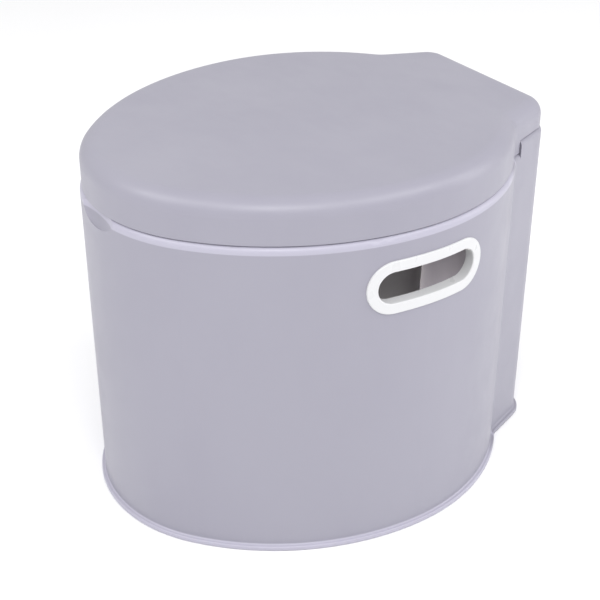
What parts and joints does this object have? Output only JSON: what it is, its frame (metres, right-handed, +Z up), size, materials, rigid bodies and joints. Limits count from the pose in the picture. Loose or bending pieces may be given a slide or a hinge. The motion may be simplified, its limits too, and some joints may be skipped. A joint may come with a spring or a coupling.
{
  "type": "portable camp toilet",
  "caption": "Portable camp toilet: egg-shaped moulded housing with side hand grips, hung bucket with bail, hinged seat ring and deep hinged lid.",
  "frame": {"origin": "centre of the footprint box, on the floor", "axes": "+Z up, -Y to the front (nose of the seat), +Y to the hinge side, X across; symmetric about X = 0"},
  "size_m": [0.378, 0.4575, 0.364],
  "materials": {
    "body_plastic": "satin moulded polypropylene, lilac grey",
    "bezel_plastic": "smooth white moulded plastic",
    "bucket_plastic": "dark grey moulded plastic",
    "steel_wire": "zinc plated",
    "grip_plastic": "moulded tube",
    "rubber": "soft black rubber"
  },
  "bodies": {
    "housing": {"housing": "body_plastic", "handle_bezel_left": "bezel_plastic", "handle_bezel_right": "bezel_plastic", "bucket": "bucket_plastic", "bail": "steel_wire", "bail_grip": "grip_plastic", "hinge_pin_left": "steel_wire", "hinge_pin_right": "steel_wire", "foot_pad_1": "rubber", "foot_pad_2": "rubber", "foot_pad_3": "rubber", "foot_pad_4": "rubber"},
    "seat": {"seat": "body_plastic", "seat_bumper_1": "rubber", "seat_bumper_2": "rubber", "seat_bumper_3": "rubber", "seat_bumper_4": "rubber"},
    "lid": {"lid": "body_plastic", "lid_bumper_1": "rubber", "lid_bumper_2": "rubber", "lid_bumper_3": "rubber", "lid_bumper_4": "rubber"}
  },
  "joints": [
    {"name": "seat_hinge", "type": "hinge", "parent": "housing", "child": "seat", "pos_m": [0, 0.2248, 0.335], "axis": [-1, 0, 0], "range_deg": [0, 92]},
    {"name": "lid_hinge", "type": "hinge", "parent": "seat", "child": "lid", "pos_m": [0, 0.2248, 0.335], "axis": [-1, 0, 0], "range_deg": [0, 98]}
  ]
}
